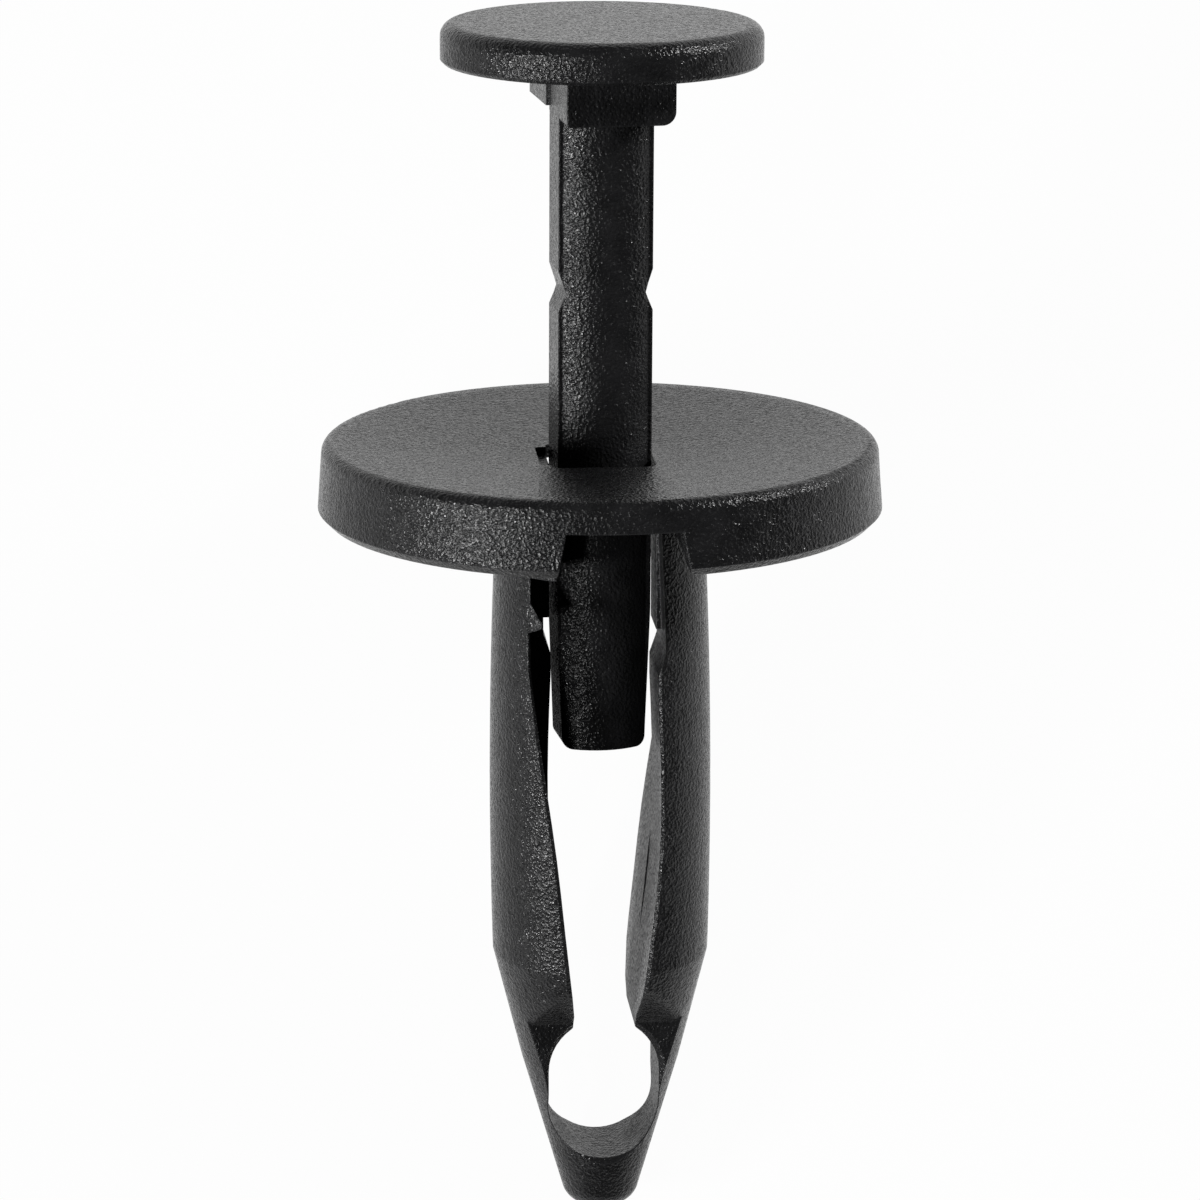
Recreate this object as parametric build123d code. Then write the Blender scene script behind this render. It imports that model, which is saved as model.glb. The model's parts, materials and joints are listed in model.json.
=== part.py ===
from build123d import *
from math import atan2, cos, degrees, hypot, radians, sin, sqrt, tan
import os

# A two-piece push rivet moulded in nylon, with its pin raised. Sizes are in millimetres.
#
# Each piece is built upright: its axis is Z, with the head up, and Z = 0 is the plane of the flange's
# top rim. The front is -Y. A height is measured up from that plane and a depth down from it.
# Both pieces are then laid down together, as the rivet comes to rest on a table.

# Flange
flange_diameter = 20.0
flange_thickness = 2.65
flange_draft = 0.17            # the wall's top edge is this much further in than its bottom edge
flange_top_round = 0.40
flange_bottom_chamfer = 0.30
dish_depth = 0.60
dish_land = 0.75               # width of the flat ring between the dish and the wall
dish_floor_diameter = 5.2
seat_recess_diameter = 15.4    # inside this the underside is sunk, so that the rim alone meets the panel
seat_recess_depth = 0.25

# Hole through the flange, and the keyway beside it
hole_side_clearance = 0.14     # between the shank's flats and the hole; the pin turns and leans in it
hole_round_clearance = 0.45    # between the shank's curved sides and the hole
hole_corner_round = 0.30
keyway_width = 0.40
keyway_length = 2.9
keyway_depth = 0.30            # below the dish's floor

# Channel along Y under the flange, which opens the slot to the front and the back
channel_ceiling_depth = 1.08
channel_margin = 0.16          # the channel's ceiling is this much wider, on each side, than the hole
channel_flare = 0.30           # and its mouth is this much wider again

# Spring legs: the outside is a slim barrel, then a nose of two cones
leg_root_diameter = 7.40
leg_belly_diameter = 7.93
leg_belly_depth = 11.5
leg_foot_diameter = 7.78
leg_foot_depth = 18.8
nose_knee_diameter = 5.73
nose_knee_depth = 22.9
nose_tip_diameter = 2.40
tip_depth = 28.65
tip_round = 0.85
leg_edge_chamfer = 0.14

# Inside of the legs. The lock side of each leg has a pocket with a catch tooth; the guide side is plain.
# The two legs are the same, turned half a turn, so each side faces the other kind across the slot.
hub_depth = 4.35
pocket_half_width = 2.68
pocket_length = 0.92           # from the hub down to the catch tooth
tooth_reach = 0.38
tooth_lead = 0.68              # height of the tooth's slope, its crest and its underside
tooth_land = 0.15
tooth_back = 0.20
lock_relief_length = 1.30      # from the tooth down to where the lock side starts to narrow
collar_depth = 6.5             # the hub stays narrow round the hole down to here
guide_top_clearance = 0.20     # between the shank's flats and the guide wall, under the flange
guide_relief_clearance = 0.35  # and in the relief beside the collar's lower edge
guide_relief_length = 0.60
rib_slope = 0.75
rib_clearance = 0.09           # between the shank's flats and the rib below the relief
rib_length = 0.75
slot_upper_depth = 10.6
slot_upper_clearance = 0.17    # between the shank's flats and the guide wall, at that depth
slot_upper_lock_half_width = 2.36
slot_middle_half_width = 1.84
slot_middle_depth = 14.4
slot_foot_half_width = 1.43
slot_foot_depth = 18.3
slot_mouth_half_width = 1.12
slot_mouth_length = 2.3        # straight part of the slot, above the ring's hole

# Ring tip, which joins the legs and acts as their hinge
ring_hole_radius = 2.0
ring_hole_top_depth = 23.1     # centre of the oval's upper arc
ring_hole_bottom_depth = 24.45
ring_hole_chamfer = 0.20
ring_width = 3.6               # across the two flat facets
ring_facet_depth = 21.2
ring_edge_round = 0.14         # where the slot runs into the hole

# Push pin: shank
flat_width = 3.36
flat_depth = 1.80              # how far the flats run front to back
curved_depth = 2.94            # across the curved front and back
curve_radius = 2.3
pin_end_depth = 11.06
pin_taper_length = 5.0
pin_taper_angle = 2.2
pin_end_round = 0.35
notch_height = 5.41            # height of the notch's deepest line
notch_depth = 0.27
notch_rise = 0.82
notch_drop = 0.64
pin_turn = 6.0                 # degrees that the raised pin stands turned in its hole
pin_lean = 0.3                 # degrees that it leans to the right

# Push pin: key under the head
key_height = 1.90
key_right = 2.15
key_front = 2.40
key_right_round = 0.48
key_left_round = 0.15
lug_step = 0.12
lug_back = 4.15
lug_start = 0.95
lug_shortfall = 0.27           # the back lug is this much shallower than the front block

# Push pin: head
head_diameter = 11.26
head_thickness = 1.40
head_height = 14.80            # of the top, with the pin raised
head_top_round = 0.50
head_bottom_chamfer = 0.12

push_gap = 0.05                # left between the key and the dish when the pin is home

# Derived sizes
flange_radius = flange_diameter / 2
flange_top_radius = flange_radius - flange_draft
dish_radius = flange_top_radius - dish_land
dish_floor_radius = dish_floor_diameter / 2
hole_half_width = flat_width / 2 + hole_side_clearance
hole_half_length = curved_depth / 2 + hole_round_clearance
channel_ceiling_half_width = hole_half_width + channel_margin
channel_mouth_half_width = channel_ceiling_half_width + channel_flare
tooth_half_gap = pocket_half_width - tooth_reach
tooth_start_depth = hub_depth + pocket_length
tooth_crest_depth = tooth_start_depth + tooth_lead
tooth_end_depth = tooth_crest_depth + tooth_land + tooth_back
guide_top_half_width = flat_width / 2 + guide_top_clearance
guide_relief_half_width = flat_width / 2 + guide_relief_clearance
rib_half_gap = flat_width / 2 + rib_clearance
rib_start_depth = collar_depth + guide_relief_length + rib_slope
rib_end_depth = rib_start_depth + rib_length
slot_upper_half_width = flat_width / 2 + slot_upper_clearance
slot_mouth_depth = ring_hole_top_depth - slot_mouth_length
leg_edge_reach = (ring_width + flat_width) / 2
nose_slope = atan2(nose_knee_diameter - nose_tip_diameter, 2 * (tip_depth - nose_knee_depth))
head_underside = head_height - head_thickness
key_underside = head_underside - key_height


def turned(*outline):
    """The solid turned about Z from a closed outline in the XZ plane."""
    return revolve(Plane.XZ * make_face(outline), Axis.Z)


def along_y(outline, y_from, y_to):
    """A bar along Y whose section is a closed outline in the XZ plane."""
    plane = Plane((0, y_to, 0), x_dir=(1, 0, 0), z_dir=(0, -1, 0))
    return extrude(plane * make_face(outline), y_to - y_from)


def flange():
    """The dished disc, with the sunk face under it; its keyed hole is still missing."""
    recess_radius = seat_recess_diameter / 2
    recess_ceiling = seat_recess_depth - flange_thickness
    disc = turned(
        Polyline(
            (0, -dish_depth),
            (dish_floor_radius, -dish_depth),
            (dish_radius, 0),
            (flange_top_radius, 0),
            (flange_radius, flange_bottom_chamfer - flange_thickness),
            (flange_radius - flange_bottom_chamfer, -flange_thickness),
            (recess_radius, -flange_thickness),
            (recess_radius, recess_ceiling),
            (0, recess_ceiling),
            close=True,
        )
    )
    top_rims = disc.edges().filter_by(GeomType.CIRCLE).group_by(Axis.Z)[-1]
    return fillet(top_rims.sort_by(SortBy.RADIUS)[-1], flange_top_round)


def leg_blank():
    """The outside of both legs and the nose as one turned solid, before the slot is cut."""
    root = (leg_root_diameter / 2, -flange_thickness)
    belly = (leg_belly_diameter / 2, -leg_belly_depth)
    foot = (leg_foot_diameter / 2, -leg_foot_depth)
    knee = (nose_knee_diameter / 2, -nose_knee_depth)
    tip = (nose_tip_diameter / 2, -tip_depth)
    blank = turned(
        Line((0, -channel_ceiling_depth), (root[0], -channel_ceiling_depth)),
        Line((root[0], -channel_ceiling_depth), root),
        ThreePointArc(root, belly, foot),
        Polyline(foot, knee, tip, (0, -tip_depth), (0, -channel_ceiling_depth)),
    )
    tip_edge = blank.edges().filter_by(GeomType.CIRCLE).sort_by(Axis.Z)[0]
    return fillet(tip_edge, tip_round)


def slot_outline():
    """The slot between the legs, seen from the front: lock side on the left, guide side on the right."""
    top_left = (-hole_half_width, -channel_ceiling_depth)
    lock_relief_end = (-pocket_half_width, -tooth_end_depth - lock_relief_length)
    mouth_left = (-slot_mouth_half_width, -slot_mouth_depth)
    mouth_right = (slot_mouth_half_width, -slot_mouth_depth)
    rib_end = (rib_half_gap, -rib_end_depth)
    lock_wall = Polyline(
        top_left,
        (-hole_half_width, -hub_depth),
        (-pocket_half_width, -hub_depth),
        (-pocket_half_width, -tooth_start_depth),
        (-tooth_half_gap, -tooth_crest_depth),
        (-tooth_half_gap, -tooth_crest_depth - tooth_land),
        (-pocket_half_width, -tooth_end_depth),
        lock_relief_end,
    )
    lock_taper = Spline(
        lock_relief_end,
        (-slot_upper_lock_half_width, -slot_upper_depth),
        (-slot_middle_half_width, -slot_middle_depth),
        (-slot_foot_half_width, -slot_foot_depth),
        mouth_left,
    )
    mouth = Polyline(
        mouth_left,
        (-slot_mouth_half_width, -ring_hole_top_depth),
        (slot_mouth_half_width, -ring_hole_top_depth),
        mouth_right,
    )
    guide_taper = Spline(
        mouth_right,
        (slot_foot_half_width, -slot_foot_depth),
        (slot_middle_half_width, -slot_middle_depth),
        (slot_upper_half_width, -slot_upper_depth),
        rib_end,
    )
    guide_wall = Polyline(
        rib_end,
        (rib_half_gap, -rib_start_depth),
        (guide_relief_half_width, -collar_depth - guide_relief_length),
        (guide_relief_half_width, -collar_depth),
        (guide_top_half_width, -flange_thickness),
        (guide_top_half_width, -channel_ceiling_depth),
        top_left,
    )
    return [lock_wall, lock_taper, mouth, guide_taper, guide_wall]


def slot():
    """The slot between the legs, less the collar round the hole. Its back half is its front half turned."""
    collar = Pos(hole_half_width, 0, -collar_depth) * Box(
        pocket_half_width, hole_half_length, collar_depth, align=(Align.MIN, Align.MAX, Align.MIN)
    )
    front = along_y(slot_outline(), -flange_radius, 0) - collar
    return front + Rot(0, 0, 180) * front


def channel():
    """The flared channel under the flange, from front rim to back rim."""
    section = Polyline(
        (-channel_ceiling_half_width, -channel_ceiling_depth),
        (channel_ceiling_half_width, -channel_ceiling_depth),
        (channel_mouth_half_width, -flange_thickness),
        (-channel_mouth_half_width, -flange_thickness),
        close=True,
    )
    return along_y([section], -flange_radius, flange_radius)


def pin_hole():
    """The hole through the flange, with the shallow keyway on its left."""
    hole_outline = RectangleRounded(2 * hole_half_width, 2 * hole_half_length, hole_corner_round)
    hole = extrude(Pos(0, 0, -channel_ceiling_depth) * hole_outline, channel_ceiling_depth)
    keyway_outline = RectangleRounded(2 * keyway_width, keyway_length, keyway_width / 2)
    keyway_floor = -dish_depth - keyway_depth
    keyway = extrude(Pos(-hole_half_width, 0, keyway_floor) * keyway_outline, dish_depth + keyway_depth)
    return hole + keyway


def ring_hole():
    """The oval hole along Y through the ring tip, flared where it comes out of the two facets."""
    height = ring_hole_bottom_depth - ring_hole_top_depth
    middle = -(ring_hole_bottom_depth + ring_hole_top_depth) / 2
    oval = Rot(0, 0, 90) * SlotCenterToCenter(height, 2 * ring_hole_radius)
    flare_start = ring_width / 2 - ring_hole_chamfer
    front = Plane((0, 0, middle), x_dir=(1, 0, 0), z_dir=(0, -1, 0))
    through = extrude(front * oval, leg_foot_diameter / 2)
    flare = extrude(front.offset(flare_start) * oval, 2 * ring_hole_chamfer, taper=-45)
    half = through + flare
    return half + Rot(0, 0, 180) * half


def ring_facets():
    """The stock cut off the front and the back of the ring tip, with a sloping shoulder above."""
    half = ring_width / 2
    reach = leg_foot_diameter / 2
    outline = Polyline(
        (half, -tip_depth),
        (half, -ring_facet_depth),
        (reach, -ring_facet_depth + reach - half),
        (reach, -tip_depth),
        close=True,
    )
    side = Plane((-reach, 0, 0), x_dir=(0, 1, 0), z_dir=(1, 0, 0))
    back = extrude(side * make_face([outline]), 2 * reach)
    return back + Rot(0, 0, 180) * back


def is_leg_edge(edge):
    """True for the long edges, and the shoulder's, where the slot comes out through the legs' outside."""
    middle = edge @ 0.5
    outside = hypot(middle.X, middle.Y)
    below_ribs = -slot_mouth_depth < middle.Z < -rib_end_depth
    return below_ribs and abs(middle.X) < pocket_half_width and outside > leg_edge_reach


def is_ring_mouth_edge(edge):
    """True for the two edges along Y where the slot runs into the ring's hole."""
    middle = edge @ 0.5
    in_mouth = -ring_hole_top_depth < middle.Z < -slot_mouth_depth
    beside_hole = abs(middle.X) < ring_hole_radius - ring_edge_round
    return in_mouth and beside_hole and abs(middle.Y) < ring_edge_round


def grommet():
    """The flange, hub, spring legs and ring tip: one moulding."""
    body = flange() + leg_blank()
    body = body - channel() - slot() - pin_hole()
    body = body - ring_hole() - ring_facets()
    body = chamfer(body.edges().filter_by(is_leg_edge), leg_edge_chamfer)
    return fillet(body.edges().filter_by(is_ring_mouth_edge), ring_edge_round)


def shank_section():
    """The shank's section: a bar with square flats, under a slimmer lens that gives the curved sides."""
    curve_centre = curve_radius - curved_depth / 2
    front_curve = Pos(0, curve_centre) * Circle(curve_radius)
    back_curve = Pos(0, -curve_centre) * Circle(curve_radius)
    lens = front_curve & back_curve & Rectangle(flat_width, curved_depth)
    return Rectangle(flat_width, flat_depth) + lens


def side_notch():
    """The V notch across the flat on the right."""
    face = flat_width / 2
    outline = Polyline(
        (face - notch_depth, notch_height),
        (face + notch_depth, notch_height + 2 * notch_rise),
        (face + notch_depth, notch_height - 2 * notch_drop),
        close=True,
    )
    return along_y([outline], -curved_depth / 2, curved_depth / 2)


def side_taper():
    """A wide bar along Y that narrows to a rounded end; it gives the shank's flats their taper."""
    half = flat_width / 2
    half_end = half - pin_taper_length * tan(radians(pin_taper_angle))
    outline = Polyline(
        (-half, head_underside),
        (half, head_underside),
        (half, pin_taper_length - pin_end_depth),
        (half_end, -pin_end_depth),
        (-half_end, -pin_end_depth),
        (-half, pin_taper_length - pin_end_depth),
        close=True,
    )
    bar = along_y([outline], -curved_depth, curved_depth)
    end_corners = bar.edges().filter_by(Axis.Y).group_by(Axis.Z)[0]
    return fillet(end_corners, pin_end_round)


def shank():
    """The flatted shank from its tapered end up to the head, with a notch in each flat."""
    rod = extrude(Pos(0, 0, -pin_end_depth) * shank_section(), head_underside + pin_end_depth)
    notch = side_notch()
    return (rod & side_taper()) - notch - Rot(0, 0, 180) * notch


def key():
    """The stand-off block in front of the shank and the lug behind it, both under the head."""
    left = -flat_width / 2
    block = Pos(left, -key_front, key_underside) * Box(
        key_right - left, key_front + lug_start, key_height, align=Align.MIN
    )
    lower_edges = block.edges().filter_by(Axis.Y).sort_by(Axis.Z)[:2]
    block = fillet(lower_edges.sort_by(Axis.X)[0], key_left_round)
    lower_edges = block.edges().filter_by(Axis.Y).filter_by(lambda edge: (edge @ 0.5).X > 0).sort_by(Axis.Z)
    block = fillet(lower_edges[0], key_right_round)
    lug_left = left - lug_step
    lug = Pos(lug_left, lug_start, key_underside + lug_shortfall) * Box(
        -2 * lug_left, lug_back - lug_start, key_height - lug_shortfall, align=Align.MIN
    )
    return block + lug


def head():
    """The flat round head."""
    disc = Pos(0, 0, head_underside) * Cylinder(
        head_diameter / 2, head_thickness, align=(Align.CENTER, Align.CENTER, Align.MIN)
    )
    rims = disc.edges().filter_by(GeomType.CIRCLE).sort_by(Axis.Z)
    disc = chamfer(rims[0], head_bottom_chamfer)
    rims = disc.edges().filter_by(GeomType.CIRCLE).sort_by(Axis.Z)
    return fillet(rims[-1], head_top_round)


def push_pin():
    """The head, key and shank: one moulding, turned and leaning a little in the hole."""
    return Rot(0, pin_lean, 0) * Rot(0, 0, pin_turn) * (head() + key() + shank())


def rim_contact():
    """(distance behind the axis, depth) where the channel's corners in the flange's rim meet the table."""
    depth = flange_thickness - flange_bottom_chamfer
    flare_share = (depth - channel_ceiling_depth) / (flange_thickness - channel_ceiling_depth)
    corner = channel_ceiling_half_width + channel_flare * flare_share
    return sqrt(flange_radius**2 - corner**2), depth


def tip_contact(tilt):
    """(distance behind the axis, depth) where the tip's rounded edge meets the table."""
    round_centre = nose_tip_diameter / 2 - tip_round * (1 / cos(nose_slope) - tan(nose_slope))
    return round_centre + tip_round * cos(tilt), tip_depth - tip_round + tip_round * sin(tilt)


def resting_tilt():
    """The angle between the table and the rivet's axis, in radians, when rim and tip both touch."""
    rim_reach, rim_depth = rim_contact()
    tilt = 0
    for _ in range(20):
        tip_reach, tip_depth_there = tip_contact(tilt)
        tilt = atan2(rim_reach - tip_reach, tip_depth_there - rim_depth)
    return tilt


def push_travel():
    """How far the raised pin goes down before the key's front block meets the dish."""
    corner = hypot(key_right, key_front)
    dish_slope = dish_depth / (dish_radius - dish_floor_radius)
    dish_rise = max(0, corner - dish_floor_radius) * dish_slope
    return key_underside + dish_depth - dish_rise - push_gap


def laid_down(piece, tilt, rise, shift):
    """The piece turned from upright to lying on its back, then moved onto the table."""
    return Pos(0, shift, rise) * Rot(degrees(tilt) - 90, 0, 0) * piece


def main():
    """Build both pieces, lay them down and write them."""
    tilt = resting_tilt()
    rim_reach, rim_depth = rim_contact()
    rise = rim_reach * cos(tilt) + rim_depth * sin(tilt)
    head_edge = head_diameter / 2 - head_top_round
    head_end = head_edge * sin(tilt) + (head_height - head_top_round) * cos(tilt) + head_top_round
    tip_edge, _ = tip_contact(radians(90))
    tip_end = tip_edge * sin(tilt) + (tip_depth - tip_round) * cos(tilt) + tip_round
    shift = (tip_end - head_end) / 2
    pieces = {"grommet": grommet(), "push_pin": push_pin()}
    os.makedirs("parts", exist_ok=True)
    for name, piece in pieces.items():
        export_step(laid_down(piece, tilt, rise, shift), f"parts/{name}.step")
    print("tilt", degrees(tilt), "axis towards the tip", (0, -cos(tilt), -sin(tilt)))
    print("rise", rise, "shift", shift, "push travel", push_travel())


if __name__ == "__main__":
    main()
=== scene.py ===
"""Dresses and lights a two-piece moulded push rivet that lies on a pale studio floor."""

from __future__ import annotations

import json
import logging
import math
from dataclasses import dataclass
from typing import Any, Union

import bpy
from mathutils import Matrix, Vector

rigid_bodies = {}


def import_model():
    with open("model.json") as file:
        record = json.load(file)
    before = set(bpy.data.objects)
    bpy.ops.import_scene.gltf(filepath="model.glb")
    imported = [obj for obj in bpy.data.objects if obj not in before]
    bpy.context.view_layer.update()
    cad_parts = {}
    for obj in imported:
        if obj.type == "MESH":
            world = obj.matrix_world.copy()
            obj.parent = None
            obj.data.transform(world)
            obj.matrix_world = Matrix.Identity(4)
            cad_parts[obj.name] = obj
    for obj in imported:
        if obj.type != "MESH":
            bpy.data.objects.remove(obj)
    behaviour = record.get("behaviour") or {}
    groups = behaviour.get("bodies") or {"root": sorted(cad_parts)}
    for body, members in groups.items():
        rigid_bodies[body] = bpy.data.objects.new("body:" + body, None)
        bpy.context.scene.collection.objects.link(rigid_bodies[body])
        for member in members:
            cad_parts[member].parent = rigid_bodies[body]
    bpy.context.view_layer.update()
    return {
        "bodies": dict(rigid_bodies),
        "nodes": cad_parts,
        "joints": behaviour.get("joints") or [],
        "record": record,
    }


LOG = logging.getLogger("push_rivet")
MM = 0.001
FLANGE_THICKNESS = 2.65 * MM
PIECES = ("grommet", "push_pin")
NOISE_MIDDLE = 0.5
WHITE = (1.0, 1.0, 1.0, 1.0)
Number = Union[int, float]


# --------------------------------------------------------------------------------------------------
# The rivet's own axes
# --------------------------------------------------------------------------------------------------


@dataclass(frozen=True)
class RivetAxes:
    """The rivet's own directions and its reference point, as it lies on the floor.

    Attributes:
        centre: The middle of the flange's rim plane, on the rivet's axis.
        head: Unit direction along the axis towards the pin's head.
        front: Unit direction out of the slot's front, which faces up off the floor.
        right: Unit direction across the two legs.
    """

    centre: Vector
    head: Vector
    front: Vector
    right: Vector

    @classmethod
    def from_frame(cls, frame: dict[str, Any], flange_thickness: float) -> "RivetAxes":
        """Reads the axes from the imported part.

        Args:
            frame: What the frame loader returned.
            flange_thickness: Distance from the seat to the rim plane, in metres.

        Returns:
            The axes of the part as it lies.
        """
        seat = next(m for m in frame["record"]["mounts"] if m["name"] == "seat")
        head = -Vector(seat["axis"]).normalized()
        right = Vector((1.0, 0.0, 0.0))
        on_axis = Vector((0.0, seat["pos_m"][1], seat["pos_m"][2]))
        return cls(on_axis + flange_thickness * head, head, right.cross(head), right)


# --------------------------------------------------------------------------------------------------
# Shader building
# --------------------------------------------------------------------------------------------------


class Channel:
    """A node socket that adds its Math nodes when it is used in a Python expression."""

    def __init__(self, tree: bpy.types.NodeTree, socket: bpy.types.NodeSocket) -> None:
        """Wraps one output socket of a node tree."""
        self.tree = tree
        self.socket = socket

    def _math(self, operation: str, *values: "Channel | Number") -> "Channel":
        """Adds one Math node.

        Args:
            operation: The Math node's operation.
            values: Its inputs in order.

        Returns:
            The node's result.
        """
        node = self.tree.nodes.new("ShaderNodeMath")
        node.operation = operation
        for slot, value in enumerate(values):
            if isinstance(value, Channel):
                self.tree.links.new(value.socket, node.inputs[slot])
            else:
                node.inputs[slot].default_value = float(value)
        return Channel(self.tree, node.outputs[0])

    def __add__(self, other: "Channel | Number") -> "Channel":
        """Adds."""
        return self._math("ADD", self, other)

    __radd__ = __add__

    def __sub__(self, other: "Channel | Number") -> "Channel":
        """Subtracts."""
        return self._math("SUBTRACT", self, other)

    def __rsub__(self, other: Number) -> "Channel":
        """Subtracts from a number."""
        return self._math("SUBTRACT", other, self)

    def __mul__(self, other: "Channel | Number") -> "Channel":
        """Multiplies."""
        return self._math("MULTIPLY", self, other)

    __rmul__ = __mul__

    def __truediv__(self, other: "Channel | Number") -> "Channel":
        """Divides."""
        return self._math("DIVIDE", self, other)

    def __rtruediv__(self, other: Number) -> "Channel":
        """Divides a number."""
        return self._math("DIVIDE", other, self)

    def __pow__(self, other: Number) -> "Channel":
        """Raises to a power."""
        return self._math("POWER", self, other)

    def __rpow__(self, other: Number) -> "Channel":
        """Raises a number to this power."""
        return self._math("POWER", other, self)

    def clamped(self) -> "Channel":
        """Limits the value to between 0 and 1."""
        return self._math("MINIMUM", self._math("MAXIMUM", self, 0.0), 1.0)


class Shader:
    """One material's node tree, built in plain calls."""

    def __init__(self, name: str) -> None:
        """Starts an empty node material.

        Args:
            name: The material's name.
        """
        self.material = bpy.data.materials.new(name)
        self.material.use_nodes = True
        self.tree = self.material.node_tree
        self.tree.nodes.clear()

    def node(
        self, kind: str, settings: dict[str, Any] | None = None, *slots: Any, **inputs: Any
    ) -> bpy.types.Node:
        """Adds one node, whose sockets each take a value, a channel or another node.

        Args:
            kind: The node's type name.
            settings: Its properties, set before its sockets.
            slots: Its first sockets in order, for a node that has two sockets of one name.
            inputs: Its sockets by name, with underscores for spaces.

        Returns:
            The new node.
        """
        node = self.tree.nodes.new(kind)
        for key, value in (settings or {}).items():
            setattr(node, key, value)
        for index, value in enumerate(slots):
            self._feed(node.inputs[index], value)
        for key, value in inputs.items():
            self._feed(node.inputs[key.replace("_", " ")], value)
        return node

    def _feed(self, socket: bpy.types.NodeSocket, value: Any) -> None:
        """Fills one socket.

        Args:
            socket: The socket.
            value: A channel or a node to link, the node by its first output, or a value to set.
        """
        if isinstance(value, Channel):
            self.tree.links.new(value.socket, socket)
        elif isinstance(value, bpy.types.Node):
            self.tree.links.new(value.outputs[0], socket)
        else:
            socket.default_value = value

    def channel(self, node: bpy.types.Node, output: str | int = 0) -> Channel:
        """Wraps a node's output for use in expressions."""
        return Channel(self.tree, node.outputs[output])

    def dot(self, first: Channel, second: Channel | Vector) -> Channel:
        """Multiplies two vectors into one number.

        Args:
            first: A vector.
            second: Another vector, or a constant one.

        Returns:
            Their dot product.
        """
        node = self.node("ShaderNodeVectorMath", {"operation": "DOT_PRODUCT"}, first, second)
        return self.channel(node, "Value")


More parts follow.
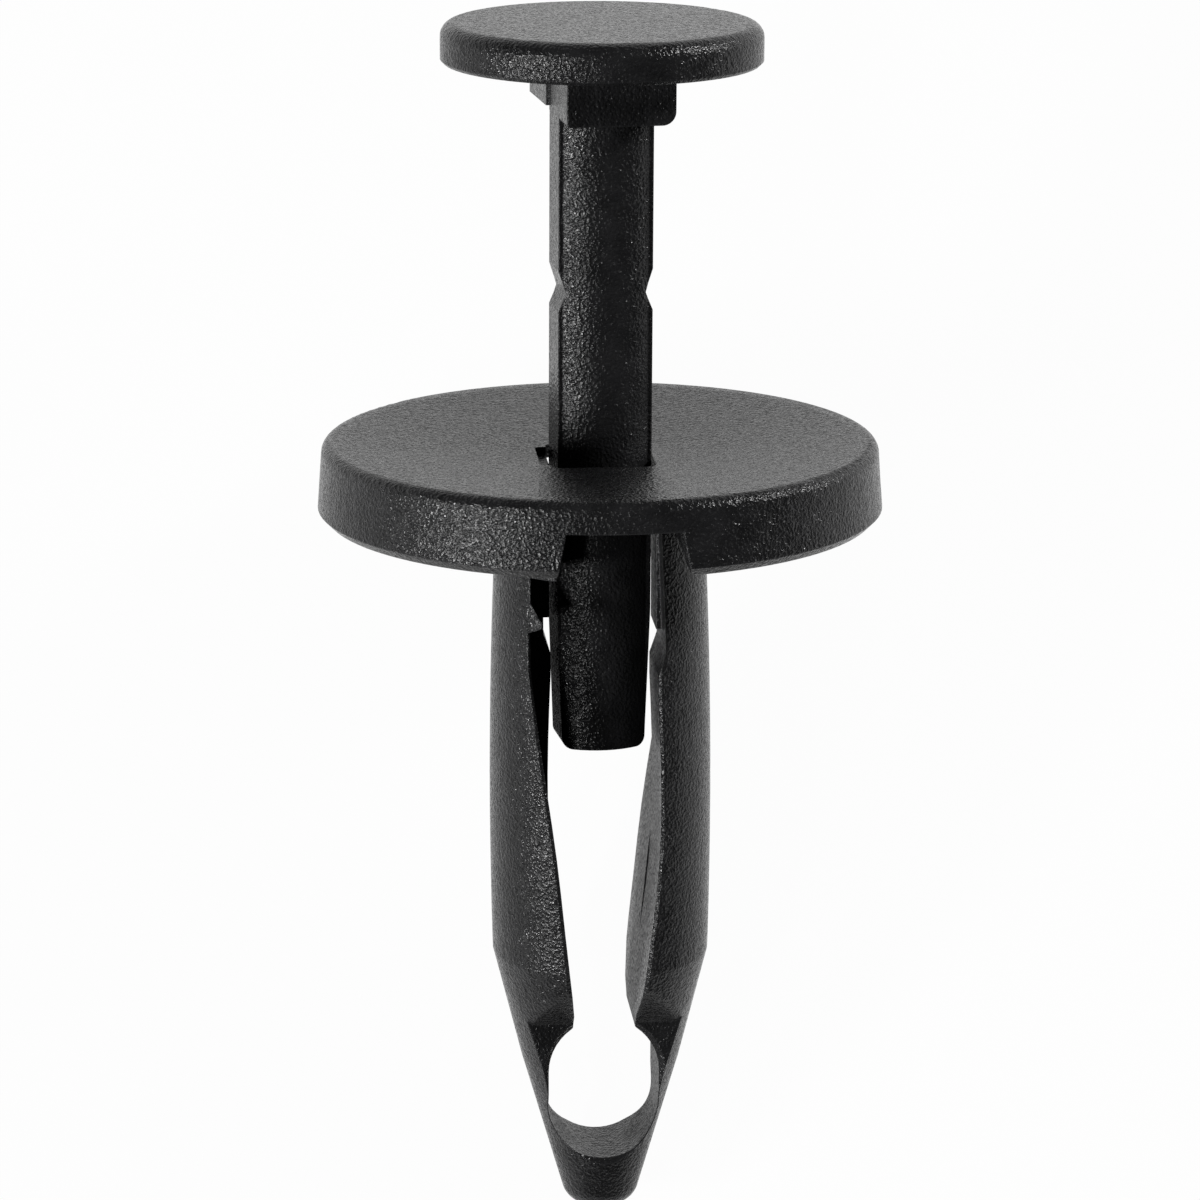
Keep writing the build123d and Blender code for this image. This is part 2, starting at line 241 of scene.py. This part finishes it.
@dataclass(frozen=True)
class MouldedNylon:
    """Black nylon with the fine pebbled skin of a spark-eroded mould.

    Attributes:
        name: The material's name.
        colour: Base colour, linear.
        specular: Specular level, where 0.5 is the full reflection of a plain plastic.
        pebble: Size of one pebble, in millimetres.
        relief: Height of the pebbles over the full range of their noise, in millimetres.
        patch: Size of the shallow lumps that the pebbles sit on, in millimetres.
        patch_relief: Height of those lumps, likewise.
        swell: Size of the broad unevenness under the lumps, in millimetres.
        swell_relief: Height of that unevenness, likewise.
        noise_detail: Octaves of finer noise added to each of the three.
        edge_round: Radius of the softened edges, in millimetres.
        edge_samples: Rays that find the softened edges.
        roughness: Roughness on the pebbles' crests.
        patch_roughness: How far the roughness strays from lump to lump.
        valley_level: Value of the pebbles' noise at which a valley between them starts.
        valley_roughness: How much rougher the skin gets for each unit of noise below that value.
        worn_roughness: How much rougher the rubbed edges are.
        wall_roughness: How much rougher the slot's and the holes' walls are.
        swell_shade: How far the colour strays from swell to swell, as a share of itself.
        worn_shade: How much paler the rubbed edges are, as a share of the colour.
        wear_sharpness: How fast the wear grows as an edge turns.
        wall_margin: How far a wall has to face the rivet's axis before it counts as an inner wall.
        wall_sharpness: How fast a wall counts as an inner one past that margin.
    """

    name: str = "moulded_nylon"
    colour: tuple[float, float, float] = (0.010, 0.010, 0.0105)
    specular: float = 0.18
    pebble: float = 0.11
    relief: float = 0.054
    patch: float = 0.30
    patch_relief: float = 0.020
    swell: float = 0.9
    swell_relief: float = 0.010
    noise_detail: float = 1.0
    edge_round: float = 0.10
    edge_samples: int = 6
    roughness: float = 0.17
    patch_roughness: float = 0.14
    valley_level: float = 0.55
    valley_roughness: float = 1.1
    worn_roughness: float = 0.10
    wall_roughness: float = 0.20
    swell_shade: float = 1.2
    worn_shade: float = 1.5
    wear_sharpness: float = 4.0
    wall_margin: float = 0.3
    wall_sharpness: float = 3.0

    def build(self, axes: RivetAxes) -> bpy.types.Material:
        """Makes the material.

        Args:
            axes: The rivet's axes.

        Returns:
            The finished node material.
        """
        shader = Shader(self.name)
        place = shader.channel(shader.node("ShaderNodeTexCoord"), "Object")
        in_mm = shader.node("ShaderNodeVectorMath", {"operation": "SCALE"}, Vector=place, Scale=1.0 / MM)
        edge_radius = self.edge_round * MM
        soft_edges = shader.node("ShaderNodeBevel", {"samples": self.edge_samples}, Radius=edge_radius)
        pebbles = self._noise(shader, in_mm, self.pebble)
        patches = self._noise(shader, in_mm, self.patch)
        swells = self._noise(shader, in_mm, self.swell)
        height = pebbles * self.relief + patches * self.patch_relief + swells * self.swell_relief
        wear = self._wear(shader, soft_edges)
        walls = self._inner_walls(shader, place, axes)
        valleys = (self.valley_level - pebbles).clamped()
        strays = (patches - NOISE_MIDDLE) * self.patch_roughness
        dulling = strays + wear * self.worn_roughness + walls * self.wall_roughness
        shade = (swells - NOISE_MIDDLE) * self.swell_shade + wear * self.worn_shade + 1.0
        colour = shader.node("ShaderNodeVectorMath", {"operation": "SCALE"}, Vector=self.colour, Scale=shade)
        bump = shader.node("ShaderNodeBump", Height=height, Distance=MM, Strength=1.0, Normal=soft_edges)
        surface = shader.node(
            "ShaderNodeBsdfPrincipled",
            Base_Color=colour,
            Roughness=(dulling + valleys * self.valley_roughness + self.roughness).clamped(),
            Specular_IOR_Level=self.specular,
            Normal=bump,
        )
        shader.node("ShaderNodeOutputMaterial", Surface=surface)
        return shader.material

    def _wear(self, shader: Shader, soft_edges: bpy.types.Node) -> Channel:
        """Finds the rubbed edges: there the softened normal leans away from the true one.

        Args:
            shader: The material being built.
            soft_edges: The node that gives the softened normal.

        Returns:
            0 on open surfaces, rising towards 1 on sharp edges.
        """
        true_normal = shader.channel(shader.node("ShaderNodeNewGeometry"), "Normal")
        lean = 1.0 - shader.dot(shader.channel(soft_edges), true_normal)
        return (lean * self.wear_sharpness).clamped()

    def _inner_walls(self, shader: Shader, place: Channel, axes: RivetAxes) -> Channel:
        """Finds the walls that face the rivet's axis: those of the slot, the channel and the holes.

        The outward share of the normal is its part along the line from the axis to the surface.

        Args:
            shader: The material being built.
            place: The surface's place in the part's frame.
            axes: The rivet's axes.

        Returns:
            1 on walls that face the axis, falling to 0 on level faces and on walls that face outward.
        """
        normal = shader.channel(shader.node("ShaderNodeNewGeometry"), "Normal")
        across = shader.dot(place, axes.right) - axes.centre.dot(axes.right)
        deep = shader.dot(place, axes.front) - axes.centre.dot(axes.front)
        outward = across * shader.dot(normal, axes.right) + deep * shader.dot(normal, axes.front)
        reach = (across * across + deep * deep) ** 0.5
        return ((outward / reach + self.wall_margin) * -self.wall_sharpness).clamped()

    def _noise(self, shader: Shader, place: bpy.types.Node, size: float) -> Channel:
        """Adds a noise.

        Args:
            shader: The material being built.
            place: The node that gives the surface's place in millimetres.
            size: Size of the noise's lumps, in millimetres.

        Returns:
            The noise, which varies about the middle of 0 to 1.
        """
        scale = 1.0 / size
        noise = shader.node("ShaderNodeTexNoise", Vector=place, Scale=scale, Detail=self.noise_detail)
        return shader.channel(noise)


@dataclass(frozen=True)
class PaleFloor:
    """A plain floor that is white to the camera and in mirrors.

    A shadow falls on its paint alone, so the small share of paint in the mix keeps it barely visible.

    Attributes:
        name: The material's name.
        colour: The matte paint that the lamps light, linear.
        glow: Share of plain white in what the camera, mirrors and glass see of the floor.
    """

    name: str = "pale_floor"
    colour: tuple[float, float, float] = (0.5, 0.5, 0.5)
    glow: float = 0.97

    def build(self) -> bpy.types.Material:
        """Makes the material: part white light, part matte paint, by the kind of ray that asks.

        Returns:
            The finished node material.
        """
        shader = Shader(self.name)
        paint = shader.node("ShaderNodeBsdfDiffuse", Color=(*self.colour, 1.0))
        rays = shader.node("ShaderNodeLightPath")
        seen = shader.channel(rays, "Is Camera Ray")
        mirrored = shader.channel(rays, "Is Glossy Ray")
        passed = shader.channel(rays, "Is Transmission Ray")
        share = (seen + mirrored + passed).clamped() * self.glow
        white = shader.node("ShaderNodeEmission", Color=WHITE, Strength=1.0)
        mix = shader.node("ShaderNodeMixShader", None, share, paint, white)
        shader.node("ShaderNodeOutputMaterial", Surface=mix)
        return shader.material


# --------------------------------------------------------------------------------------------------
# The studio
# --------------------------------------------------------------------------------------------------


@dataclass(frozen=True)
class Lamp:
    """One rectangular soft light.

    Attributes:
        name: The lamp's name.
        direction: Where it stands, in the rivet's (right, front, head) directions.
        distance: Metres from the middle of the flange's rim plane.
        size: Its width and height, in metres.
        power: Its power, in watts.
    """

    name: str
    direction: tuple[float, float, float]
    distance: float
    size: tuple[float, float]
    power: float


@dataclass
class Studio:
    """The camera, the floor and the lights.

    Attributes:
        axes: The rivet's axes.
        picture_side: Side of the square picture, in pixels.
        focal_pixels: The lens's focal length in those pixels.
        camera_distance: Metres from the camera to the middle of the flange's rim plane.
        camera_rise: Degrees that the camera stands above the rim plane.
        camera_swing: Degrees that the camera stands to the left of the slot's front.
        centre_row: The picture row on which the middle of the rim plane falls.
        clip_start: Metres from the camera within which it sees nothing.
        floor_side: Side of the square floor, in metres.
        room_light: Strength of the even light of the room.
        lamps: The soft lights.
    """

    axes: RivetAxes
    picture_side: int = 1200
    focal_pixels: float = 5087.8
    camera_distance: float = 0.180
    camera_rise: float = 12.8
    camera_swing: float = 5.0
    centre_row: float = 438.5
    clip_start: float = 0.01
    floor_side: float = 2.0
    room_light: float = 0.02
    lamps: tuple[Lamp, ...] = (
        Lamp("key_light", (-0.86, 0.50, -0.09), 0.40, (0.09, 0.045), 1.7),
        Lamp("front_light", (-0.58, 0.81, -0.12), 0.40, (0.08, 0.05), 0.5),
        Lamp("rim_light", (0.82, 0.17, 0.52), 0.40, (0.08, 0.14), 1.9),
    )

    def build(self) -> None:
        """Sets up the camera, the floor, the lights, the room and the plain colour view."""
        self._camera()
        self._floor()
        for lamp in self.lamps:
            self._lamp(lamp)
        self._room()
        bpy.context.scene.view_settings.view_transform = "Standard"

    def _camera(self) -> None:
        """Places the camera from its distance, rise and swing, then tips it to put the rim on its row."""
        rise = math.radians(self.camera_rise)
        swing = math.radians(self.camera_swing)
        tip = rise + math.atan((self.picture_side / 2 - self.centre_row) / self.focal_pixels)
        axes = self.axes
        out = math.cos(swing) * axes.front - math.sin(swing) * axes.right
        across = math.cos(swing) * axes.right + math.sin(swing) * axes.front
        place = axes.centre + self.camera_distance * (math.cos(rise) * out + math.sin(rise) * axes.head)
        backward = math.cos(tip) * out + math.sin(tip) * axes.head
        upward = backward.cross(across)
        turn = Matrix((across, upward, backward)).transposed().to_4x4()
        data = bpy.data.cameras.new("camera")
        data.sensor_fit = "HORIZONTAL"
        data.angle = 2 * math.atan(self.picture_side / 2 / self.focal_pixels)
        data.clip_start = self.clip_start
        camera = bpy.data.objects.new("camera", data)
        camera.matrix_world = Matrix.Translation(place) @ turn
        bpy.context.scene.collection.objects.link(camera)
        bpy.context.scene.camera = camera

    def _floor(self) -> None:
        """Lays the floor under the rivet."""
        half = self.floor_side / 2
        mesh = bpy.data.meshes.new("floor")
        corners = [(-half, -half, 0.0), (half, -half, 0.0), (half, half, 0.0), (-half, half, 0.0)]
        mesh.from_pydata(corners, [], [(0, 1, 2, 3)])
        mesh.materials.append(PaleFloor().build())
        floor = bpy.data.objects.new("floor", mesh)
        bpy.context.scene.collection.objects.link(floor)

    def _lamp(self, lamp: Lamp) -> None:
        """Places one lamp, turned towards the middle of the flange's rim plane.

        Args:
            lamp: The lamp.
        """
        data = bpy.data.lights.new(lamp.name, "AREA")
        data.shape = "RECTANGLE"
        data.size, data.size_y = lamp.size
        data.energy = lamp.power
        right, front, head = lamp.direction
        direction = (right * self.axes.right + front * self.axes.front + head * self.axes.head).normalized()
        light = bpy.data.objects.new(lamp.name, data)
        light.location = self.axes.centre + lamp.distance * direction
        light.rotation_mode = "QUATERNION"
        light.rotation_quaternion = direction.to_track_quat("Z", "Y")
        bpy.context.scene.collection.objects.link(light)

    def _room(self) -> None:
        """Fills the room with a low, even light."""
        world = bpy.data.worlds.new("room")
        world.use_nodes = True
        background = world.node_tree.nodes["Background"]
        background.inputs["Color"].default_value = WHITE
        background.inputs["Strength"].default_value = self.room_light
        bpy.context.scene.world = world


# --------------------------------------------------------------------------------------------------
# The rivet
# --------------------------------------------------------------------------------------------------


@dataclass
class Moulding:
    """One moulded piece of the rivet, dressed in its nylon.

    Attributes:
        node: The piece as the frame gives it.
        skin: Its finish.
    """

    node: bpy.types.Object
    skin: bpy.types.Material

    def dress(self) -> None:
        """Puts the nylon on every material slot of the piece."""
        for slot in self.node.material_slots:
            slot.material = self.skin
        LOG.info("%s: %d faces", self.node.name, len(self.node.data.polygons))


def main() -> None:
    """Builds the scene."""
    logging.basicConfig(level=logging.INFO, format="%(name)s: %(message)s")
    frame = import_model()
    axes = RivetAxes.from_frame(frame, FLANGE_THICKNESS)
    nylon = MouldedNylon().build(axes)
    for name in PIECES:
        Moulding(frame["nodes"][name], nylon).dress()
    Studio(axes).build()


if __name__ == "__main__":
    main()
